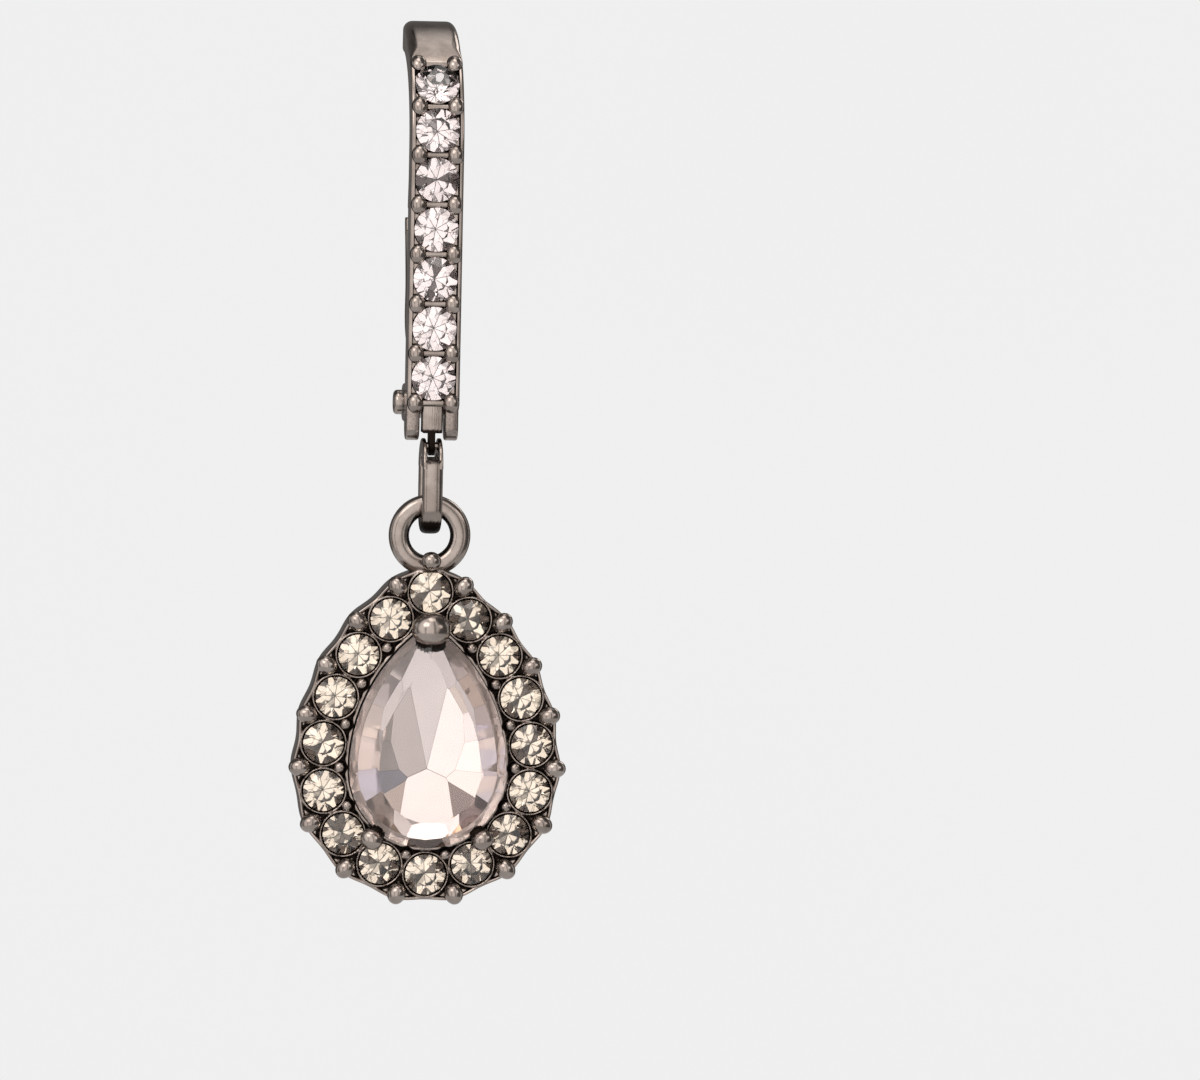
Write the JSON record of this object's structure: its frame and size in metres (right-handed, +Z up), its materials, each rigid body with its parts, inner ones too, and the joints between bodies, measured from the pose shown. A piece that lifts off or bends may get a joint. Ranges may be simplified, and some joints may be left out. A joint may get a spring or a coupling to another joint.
{
  "type": "teardrop earring",
  "caption": "Lever-back drop earring: a stone-set ear bar with a hinged lever, a strap link and a pear stone pendant in a halo of small stones.",
  "frame": {"origin": "underside of the ear wire at its crest, just behind the bar's shoulder, where the ear lobe hangs on it", "axes": "+Z up, the stones face -Y, +X to the right seen from the front"},
  "size_m": [0.0124, 0.0123, 0.0392],
  "materials": {
    "gunmetal_plate": "polished cast metal, blackened plate, dark in its recesses",
    "clear_crystal": "clear cut glass, foiled behind",
    "champagne_crystal": "champagne cut glass, foiled behind",
    "blush_crystal": "pale blush cut glass, foiled behind"
  },
  "bodies": {
    "ear_bar": {"ear_bar": "gunmetal_plate", "bar_stone_1": "clear_crystal", "bar_stone_2": "clear_crystal", "bar_stone_3": "clear_crystal", "bar_stone_4": "clear_crystal", "bar_stone_5": "clear_crystal", "bar_stone_6": "clear_crystal", "bar_stone_7": "clear_crystal", "hinge_rivet": "gunmetal_plate"},
    "lever": {"lever": "gunmetal_plate"},
    "link": {"drop_link": "gunmetal_plate"},
    "pendant": {"pendant_setting": "gunmetal_plate", "halo_stone_01": "champagne_crystal", "halo_stone_02": "champagne_crystal", "halo_stone_03": "champagne_crystal", "halo_stone_04": "champagne_crystal", "halo_stone_05": "champagne_crystal", "halo_stone_06": "champagne_crystal", "halo_stone_07": "champagne_crystal", "halo_stone_08": "champagne_crystal", "halo_stone_09": "champagne_crystal", "halo_stone_10": "champagne_crystal", "halo_stone_11": "champagne_crystal", "halo_stone_12": "champagne_crystal", "halo_stone_13": "champagne_crystal", "halo_stone_14": "champagne_crystal", "halo_stone_15": "champagne_crystal", "halo_stone_16": "champagne_crystal", "pear_stone": "blush_crystal"}
  },
  "joints": [
    {"name": "lever_hinge", "type": "hinge", "parent": "ear_bar", "child": "lever", "pos_m": [0, -0.0039, -0.016], "axis": [1, 0, 0], "range_deg": [-60, 0]},
    {"name": "link_swing", "type": "hinge", "parent": "ear_bar", "child": "link", "pos_m": [0, -0.0056, -0.01785], "axis": [1, 0, 0], "range_deg": [-35, 30]},
    {"name": "pendant_swing", "type": "hinge", "parent": "link", "child": "pendant", "pos_m": [0, -0.0056, -0.02183], "axis": [0, 1, 0], "range_deg": [-35, 35]}
  ]
}
